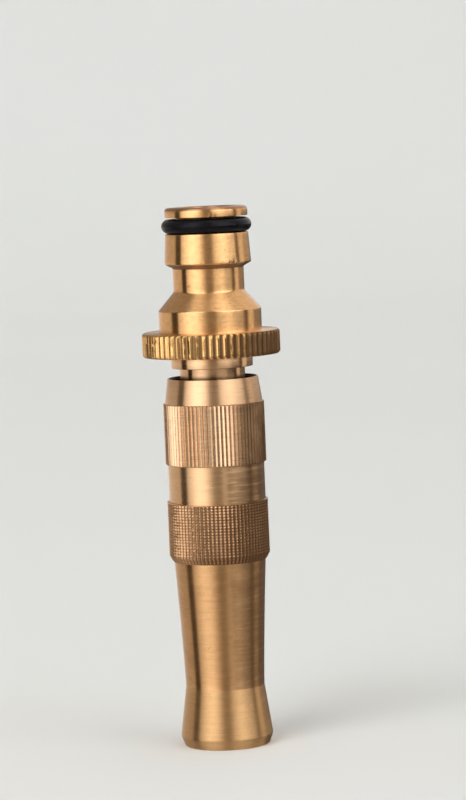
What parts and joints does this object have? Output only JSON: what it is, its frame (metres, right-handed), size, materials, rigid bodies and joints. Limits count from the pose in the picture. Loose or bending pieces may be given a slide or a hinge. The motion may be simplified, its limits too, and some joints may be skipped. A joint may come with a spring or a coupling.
{
  "type": "hose spray nozzle",
  "caption": "Brass twist nozzle for a garden hose: quick-connect plug, knurled flange, hollow stem and a knurled turning sleeve that opens and shapes the spray.",
  "frame": {"origin": "centre of the outlet rim, on the plane that the nozzle stands on", "axes": "+Z along the nozzle's axis, from the outlet towards the hose"},
  "size_m": [0.0266, 0.0266, 0.1043],
  "materials": {
    "yellow_brass": "turned, bright, fine circumferential tool marks",
    "stem_brass": "turned, slightly dull",
    "sleeve_brass": "turned and knurled, bright with light stains and scratches",
    "black_rubber": "matte, smooth"
  },
  "bodies": {
    "tail": {"tail_plug": "yellow_brass", "plug_o_ring": "black_rubber", "tail_gasket": "black_rubber", "stem": "stem_brass", "shutoff_o_ring": "black_rubber"},
    "turning_seals": {"upper_stem_o_ring": "black_rubber", "lower_stem_o_ring": "black_rubber"},
    "sleeve": {"sleeve": "sleeve_brass"}
  },
  "joints": [
    {"name": "sleeve_twist", "type": "hinge", "parent": "tail", "child": "turning_seals", "pos_m": [0, 0, 0.04], "axis": [0, 0, -1], "range_deg": [0, 1440]},
    {"name": "sleeve_travel", "type": "slide", "parent": "turning_seals", "child": "sleeve", "axis": [0, 0, -1], "range_m": [0, 0.008]}
  ],
  "couplings": [
    {"joint": "sleeve_twist", "follows": "sleeve_travel", "rad_per_m": 3141.6}
  ]
}
